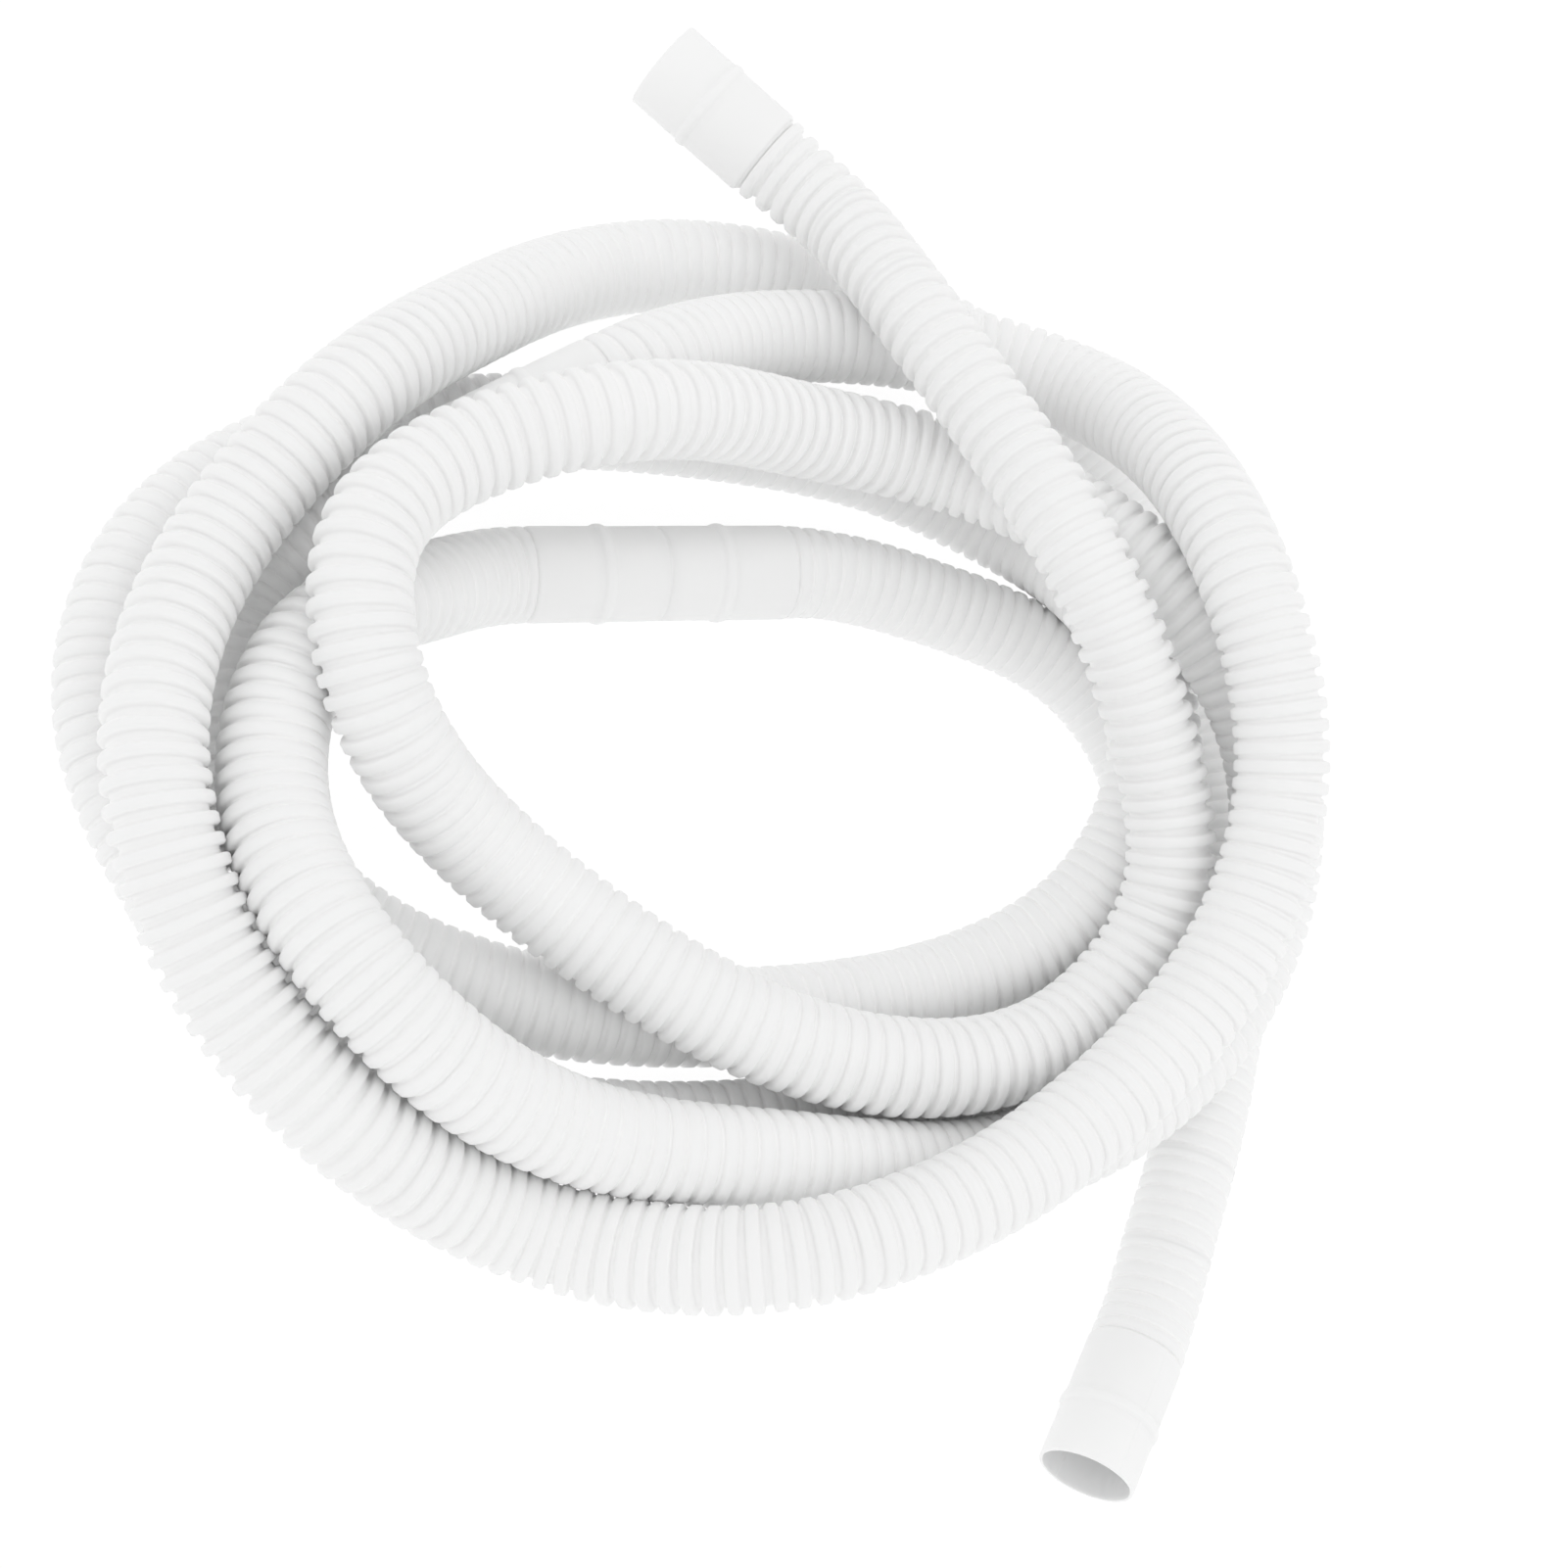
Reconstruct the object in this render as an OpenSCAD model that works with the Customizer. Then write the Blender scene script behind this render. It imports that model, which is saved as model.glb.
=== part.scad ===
// Ribbed pool vacuum hose, 32 mm bore, three ribbed sections between smooth
// cuffs, lying loosely coiled on a flat floor.
// Frame: +Z up, floor at z = 0, origin under the middle of the coil.

/* [Cuffs] */
// Inner diameter of the cuffs, which push over a 32 mm hose tail
bore_d = 32; // [31:0.5:32.5]
// Wall thickness of the smooth cuffs
wall = 1.3; // [1:0.1:1.3]
// Length of each end cuff
end_cuff_len = 50; // [48:1:50]
// Distance from the mouth of an end cuff to its bead
end_bead_at = 23; // [15:1:35]
// Length of each double cuff between two sections
double_cuff_len = 100; // [98:1:100]
// Distance from the middle groove of a double cuff to each bead
double_bead_at = 23; // [15:1:35]
// Height of a bead over the cuff
bead_h = 0.8; // [0.4:0.1:1]
// Width of a bead along the cuff
bead_w = 4; // [2:0.5:6]
// Depth of the groove where a double cuff may be cut in two
groove_h = 0.7; // [0.4:0.1:1]
// Width of that groove
groove_w = 1.6; // [1:0.2:3]

/* [Ribbed hose] */
// Outer diameter over the ribs
rib_d = 34.5; // [34:0.1:34.5]
// Number of sides of the plain tubes that stand for the ribbed runs
sides = 12; // [8:1:12]

/* [Colour] */
// Colour of the plastic
plastic = "WhiteSmoke"; // [WhiteSmoke, White, GhostWhite]

/* [Hidden] */

r0 = rib_d / 2;            // height of the centre line of a run on the floor
cuff_od = bore_d + 2 * wall;
gap = 0.3;                 // clearance between pieces on different bodies

// Where the cuffs lie: [x, y, height of the underside, heading, pitch].
// A heading is the way the hose runs, from end A to end B.
mouth_a = [-33, 244, 38, -36, 0];
middle_1 = [-20, 56, 1, 9, 0];
middle_2 = [-95, 82, 30, 32, 12];
base_b = [163, -215, 1, -119, 6];

// Moves the whole coil along y, so that the origin is under its middle.
shift_y = 3;

// The centre line of the hose, from end A to end B. Each row is x, y and the
// height of the underside over the floor: 0 on the floor, about 35 on one
// strand, 70 on two.
route_1 = [
    [81, 99, 77], [113, 39, 88], [144, -15, 70], [155, -60, 52],
    [139, -94, 36], [100, -120, 35], [35, -125, 35], [-29, -103, 35],
    [-87, -66, 35], [-131, -27, 60], [-138, 27, 67], [-107, 62, 64],
    [-50, 85, 69], [20, 103, 40], [86, 99, 37], [140, 60, 67], [190, 5, 65],
    [204, -50, 42], [175, -111, 29], [105, -154, 20], [20, -161, 30],
    [-65, -154, 36], [-130, -116, 52], [-160, -56, 40], [-149, -1, 34],
    [-108, 31, 14]
];
route_2 = [
    [92, 60, 0], [151, 38, 0], [177, -3, 0], [177, -37, 0], [165, -85, 0],
    [100, -125, 0], [15, -145, 0], [-75, -146, 0], [-147, -120, 0],
    [-183, -79, 0], [-210, -20, 0], [-196, 44, 0], [-150, 84, 0],
    [-80, 107, 0], [15, 116, 0], [80, 110, 0], [117, 94, 6], [150, 53, 33],
    [162, 0, 36], [142, -56, 17], [90, -88, 0], [10, -106, 0],
    [-75, -105, 0], [-145, -71, 0], [-170, -5, 0], [-162, 30, 5]
];
route_3 = [
    [5, 144, 24], [71, 154, 25], [128, 139, 41], [152, 87, 88],
    [163, 34, 108], [178, -20, 97], [168, -83, 76], [125, -138, 60],
    [65, -178, 56], [0, -196, 43], [-60, -186, 14], [-121, -161, 25],
    [-175, -110, 36], [-199, -45, 46], [-184, 25, 40], [-147, 81, 48],
    [-98, 133, 25], [-40, 176, 0], [35, 186, 0], [105, 170, 0],
    [165, 125, 0], [200, 65, 0], [214, -5, 0], [208, -76, 0]
];
// Ends of the flexing zones, counted away from the end cuffs.
flex_a_mid = [35, 188, 45];
flex_a_end = [50, 157, 60];
flex_b_mid = [178, -178, 0];
flex_b_end = [190, -145, 0];

function unit(v) = v / norm(v);
function dir(h, p) = [cos(h) * cos(p), sin(h) * cos(p), sin(p)];
function at(q) = [q[0], q[1] + shift_y, q[2] + r0];
function raise(rows) = [for (q = rows) at(q)];

da = dir(mouth_a[3], mouth_a[4]);
pa = at(mouth_a);
base_a = pa + end_cuff_len * da;
d1 = dir(middle_1[3], middle_1[4]);
p1 = at(middle_1);
d2 = dir(middle_2[3], middle_2[4]);
p2 = at(middle_2);
db = dir(base_b[3], base_b[4]);
pb = at(base_b);

// Directions of the hose where one flexing zone ends and the next begins.
ta1 = unit(at(flex_a_end) - base_a);
ta2 = unit(route_1[0] - flex_a_mid);
tb1 = unit(pb - at(flex_b_end));
tb2 = unit(flex_b_mid - route_3[len(route_3) - 1]);

// Direction of a run at ring i: given at both ends, and the mean of the two
// neighbouring stretches in between.
function heading(c, i, t0, t1) =
    i == 0 ? t0 : i == len(c) - 1 ? t1 :
    unit(unit(c[i] - c[i - 1]) + unit(c[i + 1] - c[i]));

// One ring of the sweep: a polygon round c, square to t, with a corner below.
function ring(c, t) =
    let (s = unit(cross([0, 0, 1], t)), u = cross(t, s))
    [for (k = [0 : sides - 1])
        let (a = 360 * k / sides - 90) c + r0 * (cos(a) * s + sin(a) * u)];

// Closed plain tube along the points c.
module sweep(c, t0, t1) {
    n = len(c);
    pts = [for (i = [0 : n - 1]) each ring(c[i], heading(c, i, t0, t1))];
    skin = [for (i = [0 : n - 2], k = [0 : sides - 1])
        let (a = i * sides + k, b = i * sides + (k + 1) % sides)
        [a, a + sides, b + sides, b]];
    ends = [[for (k = [0 : sides - 1]) k],
            [for (k = [sides - 1 : -1 : 0]) (n - 1) * sides + k]];
    polyhedron(points = pts, faces = concat(skin, ends), convexity = 12);
}

// Puts a piece that is made along +Z at p, pointing along heading h, pitch q.
module place(p, h, q) { translate(p) rotate([0, 90 - q, h]) children(); }

// Round bead: a ring with a rounded top, centred on z = 0.
module bead() {
    rotate_extrude($fn = 96)
        translate([cuff_od / 2 - 0.6, 0])
            polygon([[0, -bead_w / 2], [0.6, -bead_w / 2],
                     [0.6 + 0.7 * bead_h, -bead_w / 3],
                     [0.6 + bead_h, -bead_w / 9],
                     [0.6 + bead_h, bead_w / 9],
                     [0.6 + 0.7 * bead_h, bead_w / 3],
                     [0.6, bead_w / 2], [0, bead_w / 2]]);
}

// Smooth end cuff, mouth at z = 0, closed length towards +Z.
module end_cuff_shape() {
    difference() {
        union() {
            cylinder(h = end_cuff_len, r = cuff_od / 2, $fn = 96);
            translate([0, 0, end_bead_at]) bead();
        }
        translate([0, 0, -1])
            cylinder(h = end_cuff_len + 2, r = bore_d / 2, $fn = 96);
    }
}

module double_cuff_shape() {
    difference() {
        union() {
            translate([0, 0, -double_cuff_len / 2])
                cylinder(h = double_cuff_len, r = cuff_od / 2, $fn = 96);
            for (s = [-1, 1]) translate([0, 0, s * double_bead_at]) bead();
        }
        translate([0, 0, -double_cuff_len / 2 - 1])
            cylinder(h = double_cuff_len + 2, r = bore_d / 2, $fn = 96);
        difference() {
            translate([0, 0, -groove_w / 2])
                cylinder(h = groove_w, r = cuff_od / 2 + 2, $fn = 96);
            translate([0, 0, -groove_w])
                cylinder(h = 2 * groove_w, r = cuff_od / 2 - groove_h,
                         $fn = 96);
        }
    }
}

module end_cuff_a() {
    color(plastic) place(pa, mouth_a[3], mouth_a[4]) end_cuff_shape();
}

module end_cuff_b() {
    color(plastic)
        place(pb + end_cuff_len * db, base_b[3], base_b[4])
            mirror([0, 0, 1]) end_cuff_shape();
}

module double_cuff_1() {
    color(plastic) place(p1, middle_1[3], middle_1[4]) double_cuff_shape();
}

module double_cuff_2() {
    color(plastic) place(p2, middle_2[3], middle_2[4]) double_cuff_shape();
}

// The flexing zones stay a hair apart, because each is on its own body.
module flex_a_outer() {
    color(plastic)
        sweep([base_a + gap * da, at(flex_a_mid)], da, ta1);
}

module flex_a_inner() {
    color(plastic)
        sweep([at(flex_a_mid) + gap * ta1, at(flex_a_end)], ta1, ta2);
}

module ribbed_section_1() {
    color(plastic)
        sweep(concat([at(flex_a_end)], raise(route_1),
                     [p1 - double_cuff_len / 2 * d1]), ta2, d1);
}

module ribbed_section_2() {
    color(plastic)
        sweep(concat([p1 + double_cuff_len / 2 * d1], raise(route_2),
                     [p2 - double_cuff_len / 2 * d2]), d1, d2);
}

module ribbed_section_3() {
    color(plastic)
        sweep(concat([p2 + double_cuff_len / 2 * d2], raise(route_3),
                     [at(flex_b_end)]), d2, tb2);
}

module flex_b_inner() {
    color(plastic)
        sweep([at(flex_b_end), at(flex_b_mid) - gap * tb1], tb2, tb1);
}

module flex_b_outer() {
    color(plastic)
        sweep([at(flex_b_mid), pb - gap * db], tb1, db);
}

end_cuff_a();
flex_a_outer();
flex_a_inner();
ribbed_section_1();
double_cuff_1();
ribbed_section_2();
double_cuff_2();
ribbed_section_3();
flex_b_inner();
flex_b_outer();
end_cuff_b();
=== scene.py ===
"""Looks of the ribbed pool vacuum hose: real ribs swept along the hose, real
cuffs, the plastic, the floor and the light. Lengths here are in millimetres
until a mesh is made; meshes are in metres."""

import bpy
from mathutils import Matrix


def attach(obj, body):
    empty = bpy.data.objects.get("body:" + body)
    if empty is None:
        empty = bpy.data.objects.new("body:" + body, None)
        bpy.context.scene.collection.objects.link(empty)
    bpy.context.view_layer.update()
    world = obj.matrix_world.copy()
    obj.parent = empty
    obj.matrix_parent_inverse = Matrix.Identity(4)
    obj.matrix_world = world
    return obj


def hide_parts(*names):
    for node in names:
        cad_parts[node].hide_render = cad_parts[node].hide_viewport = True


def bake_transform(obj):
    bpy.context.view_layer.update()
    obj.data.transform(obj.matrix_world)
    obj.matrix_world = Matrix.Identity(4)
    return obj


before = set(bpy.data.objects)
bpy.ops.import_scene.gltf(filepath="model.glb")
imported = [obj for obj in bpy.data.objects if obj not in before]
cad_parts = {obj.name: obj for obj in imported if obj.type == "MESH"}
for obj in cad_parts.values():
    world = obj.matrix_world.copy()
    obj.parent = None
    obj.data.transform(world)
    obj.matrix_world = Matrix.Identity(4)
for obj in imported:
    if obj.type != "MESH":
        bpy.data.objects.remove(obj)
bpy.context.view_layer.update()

import math
import bpy
import numpy as np
from mathutils import Matrix

# ---------------------------------------------------------------- the route
# The same numbers as in part.scad: x, y and the height of the underside.
R0 = 17.25                 # half the width over the ribs
CUFF_R = 17.3              # outside of the cuffs
BORE_R = 16.0              # inside of the cuffs
END_LEN = 50.0
DOUBLE_LEN = 100.0
SHIFT_Y = 3.0              # brings the middle of the coil over the origin
MOUTH_A = (-33, 244, 38, -36, 0)
MIDDLE_1 = (-20, 56, 1, 9, 0)
MIDDLE_2 = (-95, 82, 30, 32, 12)
BASE_B = (163, -215, 1, -119, 6)
FLEX_A_MID = (35, 188, 45)
FLEX_A_END = (50, 157, 60)
FLEX_B_MID = (178, -178, 0)
FLEX_B_END = (190, -145, 0)
ROUTE_1 = [
    (81, 99, 77), (113, 39, 88), (144, -15, 70), (155, -60, 52), (139, -94, 36),
    (100, -120, 35), (35, -125, 35), (-29, -103, 35), (-87, -66, 35), (-131, -27, 60),
    (-138, 27, 67), (-107, 62, 64), (-50, 85, 69), (20, 103, 40), (86, 99, 37),
    (140, 60, 67), (190, 5, 65), (204, -50, 42), (175, -111, 29), (105, -154, 20),
    (20, -161, 30), (-65, -154, 36), (-130, -116, 52), (-160, -56, 40), (-149, -1, 34),
    (-108, 31, 14)
]
ROUTE_2 = [
    (92, 60, 0), (151, 38, 0), (177, -3, 0), (177, -37, 0), (165, -85, 0), (100, -125, 0),
    (15, -145, 0), (-75, -146, 0), (-147, -120, 0), (-183, -79, 0), (-210, -20, 0),
    (-196, 44, 0), (-150, 84, 0), (-80, 107, 0), (15, 116, 0), (80, 110, 0), (117, 94, 6),
    (150, 53, 33), (162, 0, 36), (142, -56, 17), (90, -88, 0), (10, -106, 0),
    (-75, -105, 0), (-145, -71, 0), (-170, -5, 0), (-162, 30, 5)
]
ROUTE_3 = [
    (5, 144, 24), (71, 154, 25), (128, 139, 41), (152, 87, 88), (163, 34, 108),
    (178, -20, 97), (168, -83, 76), (125, -138, 60), (65, -178, 56), (0, -196, 43),
    (-60, -186, 14), (-121, -161, 25), (-175, -110, 36), (-199, -45, 46), (-184, 25, 40),
    (-147, 81, 48), (-98, 133, 25), (-40, 176, 0), (35, 186, 0), (105, 170, 0),
    (165, 125, 0), (200, 65, 0), (214, -5, 0), (208, -76, 0)
]

# How far apart the ribs are along each run, from its start: share of the
# run's length, pitch in mm. The hose is squeezed together in some places and
# drawn out in others.
PITCH_1 = [(0, 7.6), (0.10, 7.5), (0.20, 7.1), (0.28, 6.3), (0.36, 6.2),
           (0.42, 7.4), (0.52, 7.4), (0.58, 6.4), (0.66, 6.0), (0.74, 6.0),
           (0.80, 6.2), (0.90, 6.2), (1, 6.0)]
PITCH_2 = [(0, 5.9), (0.25, 6.0), (0.5, 6.2), (0.75, 6.2), (1, 5.9)]
PITCH_3 = [(0, 5.9), (0.10, 6.3), (0.20, 6.8), (0.30, 6.4), (0.42, 6.8),
           (0.50, 7.4), (0.60, 6.6), (0.70, 6.0), (0.78, 5.7), (0.92, 5.8),
           (1, 5.9)]

STEP = 0.5                 # spacing of the fine centre line


def at(q):
    return np.array([q[0], q[1] + SHIFT_Y, q[2] + R0], float)


def towards(h, p=0.0):
    h, p = math.radians(h), math.radians(p)
    return np.array([math.cos(h) * math.cos(p), math.sin(h) * math.cos(p), math.sin(p)])


def spline(points, t0, t1):
    """A smooth curve through the points with those directions at its ends, as a fine line."""
    p = np.array(points, float)
    h = np.linalg.norm(np.diff(p, axis=0), axis=1)
    s = np.concatenate([[0], np.cumsum(h)])
    n = len(p)
    a, b = np.zeros((n, n)), np.zeros((n, 3))
    a[0, 0] = a[-1, -1] = 1
    b[0], b[-1] = t0, t1
    for i in range(1, n - 1):
        a[i, i - 1], a[i, i], a[i, i + 1] = h[i], 2 * (h[i - 1] + h[i]), h[i - 1]
        b[i] = 3 * (h[i] * (p[i] - p[i - 1]) / h[i - 1] + h[i - 1] * (p[i + 1] - p[i]) / h[i])
    m = np.linalg.solve(a, b)
    x = np.linspace(0, s[-1], int(math.ceil(s[-1] / STEP)) + 1)
    i = np.clip(np.searchsorted(s, x, side="right") - 1, 0, n - 2)
    u = ((x - s[i]) / h[i])[:, None]
    hh = h[i][:, None]
    return ((2 * u**3 - 3 * u**2 + 1) * p[i] + (u**3 - 2 * u**2 + u) * hh * m[i]
            + (3 * u**2 - 2 * u**3) * p[i + 1] + (u**3 - u**2) * hh * m[i + 1])


def smooth(a, sigma):
    """Gaussian smoothing along the fine line; sigma in mm."""
    k = int(math.ceil(3 * sigma / STEP))
    w = np.exp(-0.5 * (np.arange(-k, k + 1) * STEP / sigma) ** 2)
    w /= w.sum()
    a = np.asarray(a, float)
    flat = a.reshape(len(a), -1)
    pad = np.concatenate([np.repeat(flat[:1], k, 0), flat, np.repeat(flat[-1:], k, 0)])
    out = np.stack([np.convolve(pad[:, j], w, mode="valid") for j in range(flat.shape[1])], axis=1)
    return out.reshape(a.shape)


def grounded(line):
    """The run, with no part of it under the floor."""
    z = np.maximum(line[:, 2], R0)
    soft = np.maximum(smooth(z, 8.0), R0)
    along = np.arange(len(line)) * STEP
    w = np.clip(np.minimum(along, along[-1] - along) / 30 - 0.3, 0, 1)
    out = line.copy()
    out[:, 2] = z + (soft - z) * w
    return out


def straight(a, b):
    n = int(round(np.linalg.norm(b - a) / STEP))
    return a + (b - a) * np.linspace(0, 1, n + 1)[:, None]


DIR_A, TIP_A = towards(*MOUTH_A[3:]), at(MOUTH_A)
BASE_A_P = TIP_A + END_LEN * DIR_A
DIR_1, MID_1 = towards(*MIDDLE_1[3:]), at(MIDDLE_1)
DIR_2, MID_2 = towards(*MIDDLE_2[3:]), at(MIDDLE_2)
DIR_B, BASE_B_P = towards(*BASE_B[3:]), at(BASE_B)
TIP_B = BASE_B_P + END_LEN * DIR_B
half = DOUBLE_LEN / 2
run_1 = grounded(spline([BASE_A_P, at(FLEX_A_MID), at(FLEX_A_END), *map(at, ROUTE_1), MID_1 - half * DIR_1], DIR_A, DIR_1))
run_2 = grounded(spline([MID_1 + half * DIR_1, *map(at, ROUTE_2), MID_2 - half * DIR_2], DIR_1, DIR_2))
run_3 = grounded(spline([MID_2 + half * DIR_2, *map(at, ROUTE_3), at(FLEX_B_END), at(FLEX_B_MID), BASE_B_P], DIR_2, DIR_B))

lines = [straight(TIP_A, BASE_A_P), run_1, straight(MID_1 - half * DIR_1, MID_1 + half * DIR_1),
         run_2, straight(MID_2 - half * DIR_2, MID_2 + half * DIR_2), run_3, straight(BASE_B_P, TIP_B)]
C = np.concatenate([x[:-1] for x in lines[:-1]] + [lines[-1]])
S = np.concatenate([[0], np.cumsum(np.linalg.norm(np.diff(C, axis=0), axis=1))])
marks = np.cumsum([0] + [len(x) - 1 for x in lines])
S_BASE_A, S_D1_0, S_D1_1, S_D2_0, S_D2_1, S_BASE_B = (S[i] for i in marks[1:7])
S_END = S[-1]

# Directions along the hose, and two directions square to it that never spin.
T = np.gradient(C, S, axis=0)
T = smooth(T, 1.5)
T /= np.linalg.norm(T, axis=1)[:, None]
N = np.zeros_like(C)
v = np.cross(T[0], [0, 0, 1])
N[0] = v / np.linalg.norm(v)
for i in range(1, len(C)):
    v = N[i - 1] - T[i] * (N[i - 1] @ T[i])
    N[i] = v / np.linalg.norm(v)
B = np.cross(T, N)
BEND = smooth(np.gradient(T, S, axis=0), 12.0)       # curvature vector, 1/mm
TABLE = np.concatenate([C, N, B, BEND], axis=1)


def look(s):
    """Centre, the two cross directions and the curvature at arc lengths s (any shape)."""
    s = np.asarray(s, float)
    x = np.interp(s.ravel(), S, np.arange(len(S)))
    i = np.clip(x.astype(int), 0, len(S) - 2)
    f = (x - i)[:, None]
    v = TABLE[i] * (1 - f) + TABLE[i + 1] * f
    return [v[:, k:k + 3].reshape(*s.shape, 3) for k in (0, 3, 6, 9)]


def skin(s, r, theta):
    """Points on the hose: arc length, radius and angle round it, in mm."""
    c, n, b, _ = look(s)
    ct, st = np.cos(theta)[..., None], np.sin(theta)[..., None]
    return c + np.asarray(r)[..., None] * (ct * n + st * b)


# ---------------------------------------------------------------- the camera
NR, NU = 0.357, 0.290
NB = math.sqrt(1 - NR * NR - NU * NU)
up = np.array([NR, NU, NB])
cx = np.array([1.0, 0, 0]) - NR * up
cx /= np.linalg.norm(cx)
cy = np.cross(up, cx)
to_cam = np.column_stack([cx, cy, up])               # world to camera
rot = to_cam.T
cam_data = bpy.data.cameras.new("camera")
cam_data.sensor_fit = "HORIZONTAL"
cam_data.sensor_width = 36.0
cam_data.lens = 2700 / 1601 * 36
cam_data.clip_start, cam_data.clip_end = 0.02, 30
cam = bpy.data.objects.new("camera", cam_data)
cam.matrix_world = Matrix([[*map(float, rot[0]), -0.29417], [*map(float, rot[1]), -0.31172],
                           [*map(float, rot[2]), 0.86524], [0, 0, 0, 1]])
bpy.context.scene.collection.objects.link(cam)
bpy.context.scene.camera = cam


# ---------------------------------------------------------------- mesh maker
def build(name, verts, quads, tris, sharp_rings, material, uv_quads=None, uv_tris=None, inside=None):
    """A closed mesh from points in mm. sharp_rings are lists of vertex numbers round an edge that isn't smoothed over."""
    quads = np.asarray(quads, np.int32).reshape(-1, 4)
    tris = np.asarray(tris, np.int32).reshape(-1, 3)
    me = bpy.data.meshes.new(name)
    me.vertices.add(len(verts))
    me.vertices.foreach_set("co", (np.asarray(verts, float) / 1000).astype(np.float32).ravel())
    loops = np.concatenate([quads.ravel(), tris.ravel()])
    me.loops.add(len(loops))
    me.loops.foreach_set("vertex_index", loops)
    me.polygons.add(len(quads) + len(tris))
    starts = np.concatenate([np.arange(len(quads)) * 4, len(quads) * 4 + np.arange(len(tris)) * 3])
    me.polygons.foreach_set("loop_start", starts.astype(np.int32))
    me.update(calc_edges=True)
    me.polygons.foreach_set("use_smooth", np.ones(len(me.polygons), bool))
    if uv_quads is not None:
        layer = me.uv_layers.new(name="Along")
        uv = np.concatenate([np.asarray(uv_quads, float).reshape(-1, 2), np.asarray(uv_tris, float).reshape(-1, 2)])
        layer.data.foreach_set("uv", uv.astype(np.float32).ravel())
    edges = np.zeros(len(me.edges) * 2, np.int32)
    me.edges.foreach_get("vertices", edges)
    edges = edges.reshape(-1, 2)
    ring_of = np.full(len(verts), -1)
    for k, ring in enumerate(sharp_rings):
        ring_of[np.asarray(ring)] = k
    sharp = (ring_of[edges[:, 0]] >= 0) & (ring_of[edges[:, 0]] == ring_of[edges[:, 1]])
    attribute = me.attributes.new("sharp_edge", "BOOLEAN", "EDGE")
    attribute.data.foreach_set("value", sharp)
    # inside marks the inner walls; on the cuffs it carries the painted shade of the bore.
    if inside is not None:
        mark = me.attributes.new("inside", "FLOAT", "POINT")
        mark.data.foreach_set("value", np.asarray(inside, np.float32))
    me.materials.append(material)
    me.validate()
    me.update()
    o = bpy.data.objects.new(name, me)
    bpy.context.scene.collection.objects.link(o)
    return o


def wall(rows, cols, first, flip):
    """Quads of a grid of rows x cols points, closed round; flip turns them over."""
    i = np.arange(rows - 1)[:, None]
    j = np.arange(cols)[None, :]
    k = (j + 1) % cols
    a, b, c, d = i * cols + j, i * cols + k, (i + 1) * cols + k, (i + 1) * cols + j
    q = np.stack([a + 0 * j, b, c, d], axis=-1).reshape(-1, 4) + first
    return q if flip else q[:, ::-1]


def wall_uv(u, cols, flip):
    """UVs for the quads of wall(): u along, 0..1 round."""
    rows = len(u)
    j = np.arange(cols)
    a = np.stack([np.broadcast_to(u[:-1, None], (rows - 1, cols)), np.broadcast_to(j / cols, (rows - 1, cols))], -1)
    b = np.stack([a[..., 0], a[..., 1] + 1 / cols], -1)
    c = np.stack([np.broadcast_to(u[1:, None], (rows - 1, cols)), b[..., 1]], -1)
    d = np.stack([c[..., 0], a[..., 1]], -1)
    q = np.stack([a, b, c, d], axis=2).reshape(-1, 4, 2)
    return q if flip else q[:, ::-1]


def cap(outer, inner, flip):
    """Triangles of a flat ring between an outer edge of 2n points and an inner one of n."""
    n = len(inner)
    t = []
    for i in range(n):
        j = (i + 1) % n
        a, b, c = outer[2 * i], outer[2 * i + 1], outer[(2 * i + 2) % (2 * n)]
        t += [(inner[i], a, b), (inner[i], b, inner[j]), (inner[j], b, c)]
    t = np.array(t)
    return t if flip else t[:, ::-1]


# ---------------------------------------------------------------- the ribs
CREST_R = R0
JOIN_R = 16.4              # the first valley, against a cuff
# Room from rib to rib on that side of the hose, and how deep the valley is
# there: closed up where the hose is squeezed, open where it is drawn out.
OPENING, DEPTH = (5.0, 6.0, 6.7, 7.3), (0.75, 1.2, 2.3, 3.0)
WALL = 1.0
# Half the width of a rib at its foot, by pitch: narrower where the hose is drawn out.
PITCHES, HALF_CREST = (6.4, 7.3), (2.42, 2.18)
rng = np.random.default_rng(7)


class Ribs:
    """Where the ribs of one run are: rib k is centred at phase k + 0.5, and whole phases are the valleys between them."""

    def __init__(self, s0, s1, pitches):
        s = np.linspace(s0, s1, 4000)
        p = np.interp((s - s0) / (s1 - s0), [a for a, _ in pitches], [b for _, b in pitches])
        u = np.concatenate([[0], np.cumsum(np.diff(s) * 2 / (p[1:] + p[:-1]))])
        self.n = int(round(u[-1]))
        u *= self.n / u[-1]
        edges = np.interp(np.arange(self.n + 1), u, s)
        wobble = rng.normal(0, 0.05, self.n + 1)
        wobble[[0, -1]] = 0
        self.edges = edges + wobble
        self.tall = rng.normal(0, 0.03, self.n)

    def valley(self, k):
        return self.edges[k]

    def gap(self, k):
        """Room between the ribs on both sides of valley k."""
        a, b = max(k - 1, 0), min(k + 1, self.n)
        return (self.edges[b] - self.edges[a]) / (b - a)

    def centre(self, k):
        return (self.edges[k] + self.edges[k + 1]) / 2

    def nearest_crest(self, s):
        c = (self.edges[:-1] + self.edges[1:]) / 2
        return int(np.abs(c - s).argmin())


# Share of the crest's half width, and radius, going up one side of a rib.
SIDE = [(1.0, 14.9), (0.90, 16.6), (0.58, CREST_R)]
SIDE_IN = [(0.80, 14.2), (0.45, 16.1)]


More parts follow.
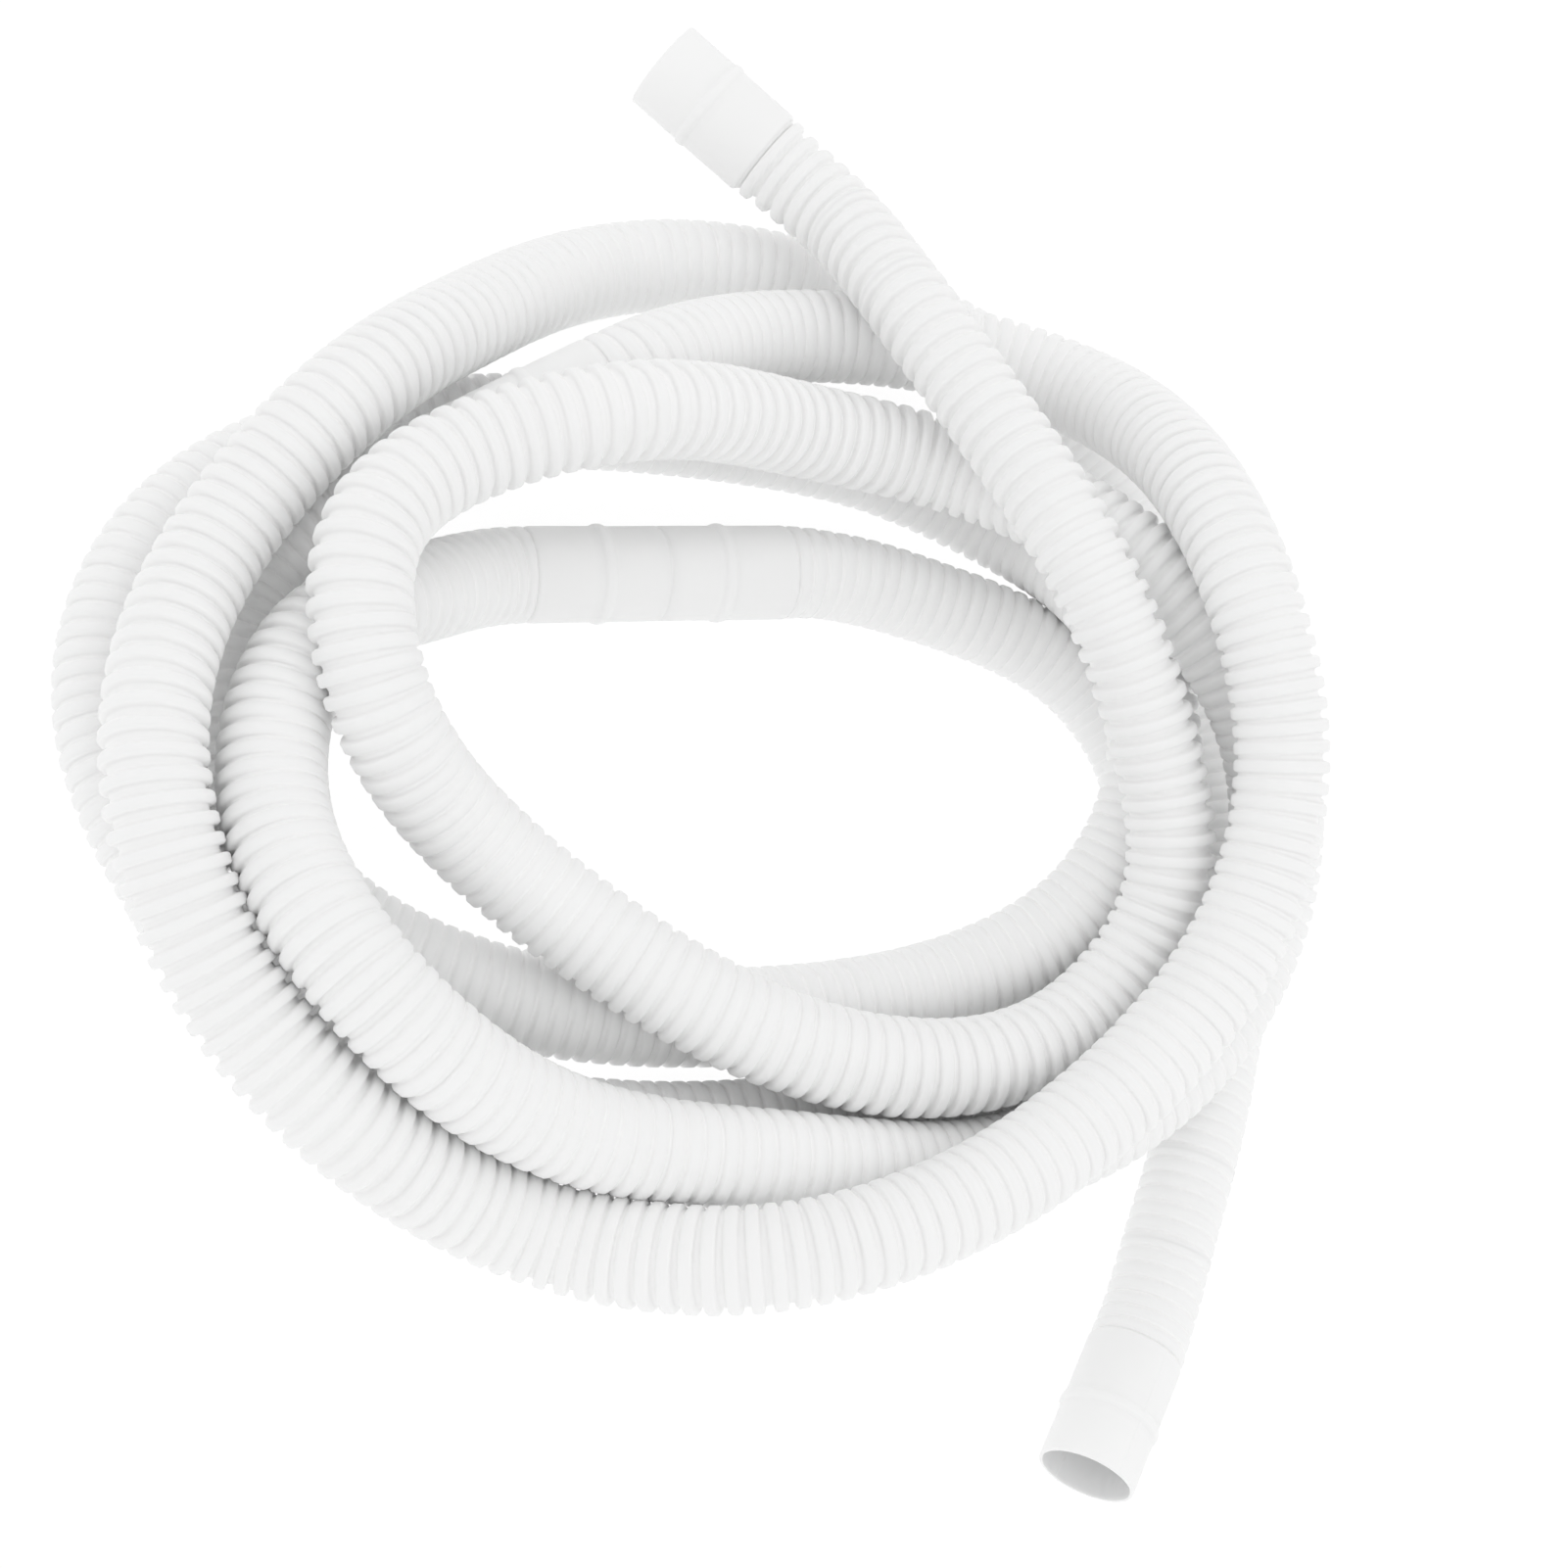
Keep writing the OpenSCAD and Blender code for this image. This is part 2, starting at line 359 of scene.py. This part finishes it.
def rib_rows(ribs, lo, hi, inner):
    """The rings of a run from phase lo to hi (whole: a valley; and a half: the middle of a crest)."""
    side = SIDE_IN if inner else SIDE
    rows = []
    k = int(math.floor(lo))
    if lo == k:
        rows.append((k, 0, 0.0, float(k), "v"))
    while k < hi:
        steps = [(-w, r) for w, r in side] + [("mid", None)] + [(w, r) for w, r in reversed(side)]
        for w, r in steps:
            if w == "mid":
                if (k + 0.5 == lo or k + 0.5 == hi):
                    rows.append((k, 0, side[-1][1], k + 0.5, "c"))
                continue
            ph = k + 0.5 + (0.45 * w)
            if lo <= ph <= hi:
                rows.append((k, w, r, ph, "r"))
        if k + 1 <= hi:
            rows.append((k + 1, 0, 0.0, float(k + 1), "v"))
        k += 1
    return rows


# Where the hose is drawn out or seen edge on it looks slimmer: run, place along
# it from its start (or, if negative, from its end) in mm, share of full width.
SLIM_1 = [(0, 1), (14, 0.95), (60, 0.93), (320, 0.92), (400, 0.94), (460, 1), (1490, 1), (1560, 1.04), (1700, 1.04), (1750, 1)]
SLIM_2 = [(0, 1), (14, 0.96), (60, 0.93), (190, 0.93), (270, 1), (900, 1)]
SLIM_3 = [(0, 1), (220, 1), (300, 0.97), (420, 0.96), (500, 1), (640, 1), (720, 1.04), (900, 1.04), (960, 1), (-420, 1), (-340, 0.94), (-70, 0.94), (-14, 0.97), (0, 1)]


def slim(s):
    """Share of the full width at arc lengths s."""
    at_s, w = [], []
    for a, b, table in ((S_BASE_A, S_D1_0, SLIM_1), (S_D1_1, S_D2_0, SLIM_2), (S_D2_1, S_BASE_B, SLIM_3)):
        for i, (x, f) in enumerate(table):
            at_s.append(b + x if x < 0 or (i and x == 0) else a + x)
            w.append(f)
    return np.interp(s, at_s, w)


def rib_grid(ribs, rows, cols, inner):
    theta = np.arange(cols) * 2 * math.pi / cols
    s = np.zeros((len(rows), cols))
    r = np.zeros((len(rows), cols))
    base = np.array([ribs.valley(k) if kind == "v" else ribs.centre(k) for k, w, rr, ph, kind in rows])
    c, n, b, bend = look(base)
    out = np.cos(theta)[None, :, None] * n[:, None] + np.sin(theta)[None, :, None] * b[:, None]
    f = np.clip(1 - 16.0 * (out * bend[:, None]).sum(-1), 0.45, 1.7)
    pitch = np.array([ribs.gap(k) if kind == "v" else ribs.edges[k + 1] - ribs.edges[k] for k, w, rr, ph, kind in rows])
    half_crest = np.interp(pitch, PITCHES, HALF_CREST)[:, None]
    width = np.minimum(half_crest / f, 0.5 * pitch[:, None] - 0.22 / f)
    w = np.array([row[1] for row in rows], float)
    s[:] = base[:, None] + w[:, None] * width
    tall = np.array([0 if kind == "v" else ribs.tall[k] for k, ww, rr, ph, kind in rows])
    r[:] = (np.array([row[2] for row in rows]) + tall * (np.abs(w) < 0.99))[:, None]
    floor_r = CREST_R - np.interp(pitch[:, None] * (0.5 + 0.5 * f), OPENING, DEPTH)
    at_cuff = np.array([kind == "v" and k in (0, ribs.n) for k, ww, rr, ph, kind in rows])
    floor_r[at_cuff] = JOIN_R
    if inner:
        r = np.maximum(r, floor_r - WALL + 0.25 * (np.abs(w) > 0)[:, None])
    else:
        r = np.maximum(r, floor_r + 0.14 * (np.abs(w) > 0.9)[:, None])
    r = np.minimum(r, CREST_R + 0.08) * slim(base)[:, None]
    return skin(s, r, np.broadcast_to(theta, s.shape)), np.array([row[3] for row in rows])


def ribbed(name, ribs, lo, hi, material, cols=36, cols_in=18):
    """A ribbed stretch of hose with a real wall."""
    rows_o, rows_i = rib_rows(ribs, lo, hi, False), rib_rows(ribs, lo, hi, True)
    po, uo = rib_grid(ribs, rows_o, cols, False)
    pi, ui = rib_grid(ribs, rows_i, cols_in, True)
    no, ni = len(rows_o), len(rows_i)
    verts = np.concatenate([po.reshape(-1, 3), pi.reshape(-1, 3)])
    first = no * cols
    quads = np.concatenate([wall(no, cols, 0, True), wall(ni, cols_in, first, False)])
    uvq = np.concatenate([wall_uv(uo, cols, True), wall_uv(ui, cols_in, False)])
    o0, o1 = np.arange(cols), np.arange(cols) + (no - 1) * cols
    i0, i1 = np.arange(cols_in) + first, np.arange(cols_in) + first + (ni - 1) * cols_in
    if cols == 2 * cols_in:
        t0, t1 = cap(o0, i0, False), cap(o1, i1, True)
    tris = np.concatenate([t0, t1])
    uvt = np.zeros((len(tris), 3, 2))
    uvt[:len(t0), :, 0], uvt[len(t0):, :, 0] = uo[0], uo[-1]
    return build(name, verts, quads, tris, [o0, o1, i0, i1], material, uvq, uvt, np.arange(len(verts)) >= first)


# ---------------------------------------------------------------- the cuffs
def bead(x):
    """Height of the bead x mm from its middle."""
    return 0.85 * np.clip(1 - (np.abs(x) / 2.2) ** 3, 0, 1)


def base_end(x):
    """Outer radius x mm before the end of a cuff where the ribs begin."""
    return [(x - 1.8, CUFF_R), (x - 1.2, CUFF_R - 0.08), (x - 0.7, CUFF_R - 0.26),
            (x - 0.3, CUFF_R - 0.56), (x, JOIN_R)]


def base_in(x):
    return [(x, JOIN_R - WALL), (x - 0.6, 15.5), (x - 1.2, 15.65), (x - 1.8, 15.85), (x - 2.6, BORE_R)]


def end_profile():
    """Outer and inner outline of an end cuff, from its mouth."""
    out = [(0.0, 16.72), (0.06, 16.95), (0.22, 17.16), (0.5, CUFF_R)]
    out += [(x, CUFF_R) for x in (3, 8, 13, 18)]
    out += [(23 + x, CUFF_R + float(bead(x))) for x in (-2.35, -2.0, -1.55, -1.0, -0.4, 0.4, 1.0, 1.55, 2.0, 2.35)]
    out += [(x, CUFF_R) for x in (29, 35, 41, 46)] + base_end(END_LEN)
    inn = base_in(END_LEN) + [(x, BORE_R) for x in (43, 37, 31)]
    inn += [(23 + x, BORE_R + 0.8 * float(bead(x))) for x in (2.35, 1.55, 0.6, -0.6, -1.55, -2.35)]
    inn += [(x, BORE_R) for x in (18, 12, 6, 1.5, 0.35)] + [(0.1, 16.1), (0.0, 16.35)]
    return out, inn


def double_profile():
    """Outer and inner outline of a double cuff, from its middle outwards on both sides."""
    a = base_end(half)
    beads = [(23 + x, CUFF_R + float(bead(x))) for x in (-2.35, -2.0, -1.55, -1.0, -0.4, 0.4, 1.0, 1.55, 2.0, 2.35)]
    right = [(0.0, CUFF_R - 0.62), (0.35, CUFF_R - 0.55), (0.7, CUFF_R - 0.22), (0.95, CUFF_R)]
    right += [(x, CUFF_R) for x in (5, 10, 15, 19)] + beads + [(x, CUFF_R) for x in (29, 35, 41, 46)] + a
    out = [(-x, r) for x, r in reversed(right[1:])] + right
    ri = base_in(half) + [(x, BORE_R) for x in (40, 30, 26)] + [(23.0 + x, BORE_R + 0.8 * float(bead(x))) for x in (2.35, 1.0, -1.0, -2.35)]
    ri += [(x, BORE_R) for x in (15, 8, 2)]
    inn = ri + [(-x, r) for x, r in reversed(ri)]
    return out, inn


def seam(theta, seam_at, width=0.012, high=0.13):
    """The parting line of the mould: two fine ridges, opposite each other."""
    d = np.abs((theta - seam_at + math.pi / 2) % math.pi - math.pi / 2)
    return high * np.exp(-(d / width) ** 2)


def cuff(name, s_at, sign, profile, material, seam_at):
    """A cuff with its outline turned round the hose. s = s_at + sign * x."""
    out, inn = profile
    base = np.linspace(0, 2 * math.pi, 96, endpoint=False)
    extra = np.concatenate([seam_at + k * math.pi + np.array([-0.03, -0.012, 0, 0.012, 0.03]) for k in (0, 1)])
    theta = np.unique(np.round(np.concatenate([base, extra % (2 * math.pi)]), 5))
    keep = [True] * len(theta)
    for i in range(len(theta)):
        near = np.abs((theta[i] - extra + math.pi) % (2 * math.pi) - math.pi).min()
        if near > 1e-4 and near < 0.03:
            keep[i] = False
    theta = theta[keep]
    cols = len(theta)
    ring = out + inn
    x = np.array([p[0] for p in ring])
    r = np.array([p[1] for p in ring])
    no = len(out)
    s = s_at + sign * x
    rr = np.repeat(r[:, None], cols, 1)
    ridge = seam(theta, seam_at)[None, :]
    rr[:no] += ridge * (r[:no] > 17.0)[:, None]
    weld = seam(theta, seam_at, 0.022, 1.0)[None, :]
    rr[no:] -= 0.22 * weld * (np.abs(r[no:] - BORE_R) < 0.05)[:, None]
    # blow-moulded walls are never quite round or straight
    wave = 0.05 * np.sin(2 * theta[None, :] + 0.05 * s[:, None]) + 0.03 * np.sin(5 * theta[None, :] - 0.11 * s[:, None])
    rr += wave * (np.abs(r - BORE_R) < 1.5)[:, None]
    pts = skin(np.repeat(s[:, None], cols, 1), rr, np.broadcast_to(theta, (len(s), cols)))
    verts = pts.reshape(-1, 3)
    rows = len(ring)
    q = wall(rows, cols, 0, sign > 0)
    last = wall(2, cols, 0, sign > 0).copy()
    a = np.where(last < cols, last + (rows - 1) * cols, last - cols)
    q = np.concatenate([q, a])
    u = s / 6.0
    uv = wall_uv(u, cols, sign > 0)
    uv_last = wall_uv(np.array([u[-1], u[0]]), cols, sign > 0)
    uv = np.concatenate([uv, uv_last])
    rings = []
    for i in (no - 1, no):
        rings.append(np.arange(cols) + i * cols)
    if profile is DOUBLE:
        rings += [np.arange(cols), np.arange(cols) + (rows - 1) * cols]
    # How much painted shade the bore gets: none at the mouth rim of an end cuff, full a little way in, and none along
    # the weld line.
    deep = np.clip((x - 0.3) / 1.2, 0, 1) if profile is END else np.ones(len(x))
    inside = np.where(np.arange(len(x)) >= no, deep, 0.0)[:, None] * (1 - weld)
    return build(name, verts, q, np.zeros((0, 3)), rings, material, uv, np.zeros((0, 3, 2)), inside.ravel())


END, DOUBLE = end_profile(), double_profile()


# ---------------------------------------------------------------- materials
def plastic(name, ribs):
    m = bpy.data.materials.new(name)
    m.use_nodes = True
    t = m.node_tree
    n, l = t.nodes, t.links
    n.clear()
    out = n.new("ShaderNodeOutputMaterial")
    p = n.new("ShaderNodeBsdfPrincipled")
    l.new(p.outputs["BSDF"], out.inputs["Surface"])
    p.inputs["IOR"].default_value = 1.5
    p.inputs["Subsurface Weight"].default_value = 0.25
    p.inputs["Subsurface Radius"].default_value = (1.0, 1.0, 1.0)
    p.inputs["Subsurface Scale"].default_value = 0.002
    p.inputs["Specular IOR Level"].default_value = 0.12
    geo = n.new("ShaderNodeTexCoord")
    cloud = n.new("ShaderNodeTexNoise")
    cloud.inputs["Scale"].default_value = 22.0
    cloud.inputs["Detail"].default_value = 3.0
    l.new(geo.outputs["Object"], cloud.inputs["Vector"])
    tone = n.new("ShaderNodeMapRange")
    tone.inputs["From Min"].default_value, tone.inputs["From Max"].default_value = 0.3, 0.7
    tone.inputs["To Min"].default_value, tone.inputs["To Max"].default_value = 0.985, 1.0
    l.new(cloud.outputs["Fac"], tone.inputs["Value"])
    mix = n.new("ShaderNodeMix")
    mix.data_type = "RGBA"
    mix.blend_type = "MULTIPLY"
    mix.inputs["Factor"].default_value = 1.0
    if ribs:
        uv = n.new("ShaderNodeUVMap")
        uv.uv_map = "Along"
        sep = n.new("ShaderNodeSeparateXYZ")
        l.new(uv.outputs["UV"], sep.inputs["Vector"])
        fr = n.new("ShaderNodeMath")
        fr.operation = "PINGPONG"
        fr.inputs[1].default_value = 0.5
        l.new(sep.outputs["X"], fr.inputs[0])
        valley_light_mask = n.new("ShaderNodeMapRange")
        valley_light_mask.interpolation_type = "SMOOTHSTEP"
        valley_light_mask.inputs["From Min"].default_value, valley_light_mask.inputs["From Max"].default_value = 0.0, 0.22
        valley_light_mask.inputs["To Min"].default_value, valley_light_mask.inputs["To Max"].default_value = 1.0, 0.0
        l.new(fr.outputs[0], valley_light_mask.inputs["Value"])
        # Painted light: the valleys are painted whiter than the crests. This stands in for light that shines through
        # the thin valley walls, and it paints out the shade that falls in the valleys.
        cr = n.new("ShaderNodeMix")
        cr.data_type = "RGBA"
        cr.inputs[6].default_value = (0.94, 0.941, 0.939, 1)
        cr.inputs[7].default_value = (1.0, 1.0, 0.997, 1)
        l.new(valley_light_mask.outputs["Result"], cr.inputs[0])
        l.new(cr.outputs[2], mix.inputs[6])
    else:
        # Painted shade: the inside of a cuff is painted a little darker than its outside, for the shade that falls in
        # the bore.
        mark = n.new("ShaderNodeAttribute")
        mark.attribute_name = "inside"
        sides = n.new("ShaderNodeMix")
        sides.data_type = "RGBA"
        sides.inputs[6].default_value = (0.93, 0.931, 0.929, 1)
        sides.inputs[7].default_value = (0.9, 0.902, 0.902, 1)
        l.new(mark.outputs["Fac"], sides.inputs[0])
        l.new(sides.outputs[2], mix.inputs[6])
    l.new(tone.outputs["Result"], mix.inputs[7])
    l.new(mix.outputs[2], p.inputs["Base Color"])
    rough = n.new("ShaderNodeMapRange")
    rough.inputs["To Min"].default_value, rough.inputs["To Max"].default_value = 0.46, 0.60
    l.new(cloud.outputs["Fac"], rough.inputs["Value"])
    l.new(rough.outputs["Result"], p.inputs["Roughness"])
    fine = n.new("ShaderNodeTexNoise")
    fine.inputs["Scale"].default_value = 900.0
    fine.inputs["Detail"].default_value = 2.0
    l.new(geo.outputs["Object"], fine.inputs["Vector"])
    bump = n.new("ShaderNodeBump")
    bump.inputs["Strength"].default_value = 0.12
    bump.inputs["Distance"].default_value = 0.0001
    l.new(fine.outputs["Fac"], bump.inputs["Height"])
    l.new(bump.outputs["Normal"], p.inputs["Normal"])
    return m


RIBBED, SMOOTH = plastic("ribbed_plastic", True), plastic("smooth_plastic", False)

# ---------------------------------------------------------------- the pieces
ribs_1, ribs_2, ribs_3 = Ribs(S_BASE_A, S_D1_0, PITCH_1), Ribs(S_D1_1, S_D2_0, PITCH_2), Ribs(S_D2_1, S_BASE_B, PITCH_3)


def arc_of(p, lo, hi):
    """Arc length of the place on the hose that is nearest to a point."""
    i = np.where((S >= lo) & (S <= hi))[0]
    return S[i[np.linalg.norm(C[i] - p, axis=1).argmin()]]


k_a_mid = ribs_1.nearest_crest(arc_of(at(FLEX_A_MID), S_BASE_A, S_BASE_A + 200)) + 0.5
k_a_end = ribs_1.nearest_crest(arc_of(at(FLEX_A_END), S_BASE_A, S_BASE_A + 300)) + 0.5
k_b_mid = ribs_3.nearest_crest(arc_of(at(FLEX_B_MID), S_BASE_B - 200, S_BASE_B)) + 0.5
k_b_end = ribs_3.nearest_crest(arc_of(at(FLEX_B_END), S_BASE_B - 300, S_BASE_B)) + 0.5

made = {}
made["ribbed_section_1"] = ribbed("hose_section_1", ribs_1, k_a_end, ribs_1.n, RIBBED)
made["ribbed_section_2"] = ribbed("hose_section_2", ribs_2, 0, ribs_2.n, RIBBED)
made["ribbed_section_3"] = ribbed("hose_section_3", ribs_3, 0, k_b_end, RIBBED)


def s_of(ribs, phase):
    k = int(math.floor(phase))
    return ribs.valley(k) if phase == k else ribs.centre(k)


for node, s0, s1 in (("ribbed_section_1", s_of(ribs_1, k_a_end), S_D1_0), ("ribbed_section_2", S_D1_1, S_D2_0),
                     ("ribbed_section_3", S_D2_1, s_of(ribs_3, k_b_end))):
    o = made[node]
    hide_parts(node)
    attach(o, "root")

made["flex_a_outer"] = ribbed("hose_flex_a_outer", ribs_1, 0, k_a_mid, RIBBED)
made["flex_a_inner"] = ribbed("hose_flex_a_inner", ribs_1, k_a_mid, k_a_end, RIBBED)
made["flex_b_inner"] = ribbed("hose_flex_b_inner", ribs_3, k_b_end, k_b_mid, RIBBED)
made["flex_b_outer"] = ribbed("hose_flex_b_outer", ribs_3, k_b_mid, ribs_3.n, RIBBED)


def bent(node, start, end):
    """Hides the CAD piece and bakes the made piece's transform into its mesh; start and end are not used."""
    start, end = np.array(start, float), np.array(end, float)
    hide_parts(node)
    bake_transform(made[node])


bent("flex_a_inner", at(FLEX_A_END), at(FLEX_A_MID))
bent("flex_a_outer", at(FLEX_A_MID), BASE_A_P)
bent("flex_b_inner", at(FLEX_B_END), at(FLEX_B_MID))
bent("flex_b_outer", at(FLEX_B_MID), BASE_B_P)

for node, name, s_at, sign, profile, body, seam_at in (
        ("end_cuff_a", "cuff_a", 0.0, 1, END, "free_end_a", 0.6),
        ("end_cuff_b", "cuff_b", S_END, -1, END, "free_end_b", 1.83),
        ("double_cuff_1", "joined_cuffs_1", (S_D1_0 + S_D1_1) / 2, 1, DOUBLE, "root", 0.6),
        ("double_cuff_2", "joined_cuffs_2", (S_D2_0 + S_D2_1) / 2, 1, DOUBLE, "root", 0.6)):
    o = cuff(name, s_at, sign, profile, SMOOTH, seam_at)
    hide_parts(node)
    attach(o, body)

# ---------------------------------------------------------------- the stage
floor_mesh = bpy.data.meshes.new("floor")
g = 4.0
floor_mesh.from_pydata([(-g, -g, 0), (g, -g, 0), (g, g, 0), (-g, g, 0)], [], [(0, 1, 2, 3)])
floor = bpy.data.objects.new("floor", floor_mesh)
floor.location = (0, 0, -0.0004)
bpy.context.scene.collection.objects.link(floor)
fm = bpy.data.materials.new("pale_floor")
fm.use_nodes = True
fp = fm.node_tree.nodes["Principled BSDF"]
fp.inputs["Base Color"].default_value = (0.18, 0.18, 0.18, 1)
fp.inputs["Roughness"].default_value = 0.9
fp.inputs["Specular IOR Level"].default_value = 0.1
fp.inputs["Emission Color"].default_value = (1, 1, 1, 1)
fp.inputs["Emission Strength"].default_value = 0.86
floor_mesh.materials.append(fm)

scene = bpy.context.scene
world = bpy.data.worlds.new("studio")
world.use_nodes = True
bg = world.node_tree.nodes["Background"]
bg.inputs["Color"].default_value = (1, 1, 1, 1)
bg.inputs["Strength"].default_value = 0.935
scene.world = world


def lamp(name, at_m, aim, size, power):
    d = bpy.data.lights.new(name, "AREA")
    d.shape = "SQUARE"
    d.size = size
    d.energy = power
    o = bpy.data.objects.new(name, d)
    from mathutils import Vector
    o.location = at_m
    o.rotation_mode = "QUATERNION"
    o.rotation_quaternion = (Vector(aim) - Vector(at_m)).to_track_quat("-Z", "Y")
    bpy.context.scene.collection.objects.link(o)
    return o


lamp("softbox", (0.8, -0.6, 2.1), (0, 0, 0), 1.6, 3)
lamp("fill", (-1.3, 1.1, 1.6), (0, 0, 0), 1.2, 1)
scene.view_settings.view_transform = "Standard"
scene.view_settings.look = "None"
scene.view_settings.exposure = 0.0
scene.view_settings.gamma = 1.0
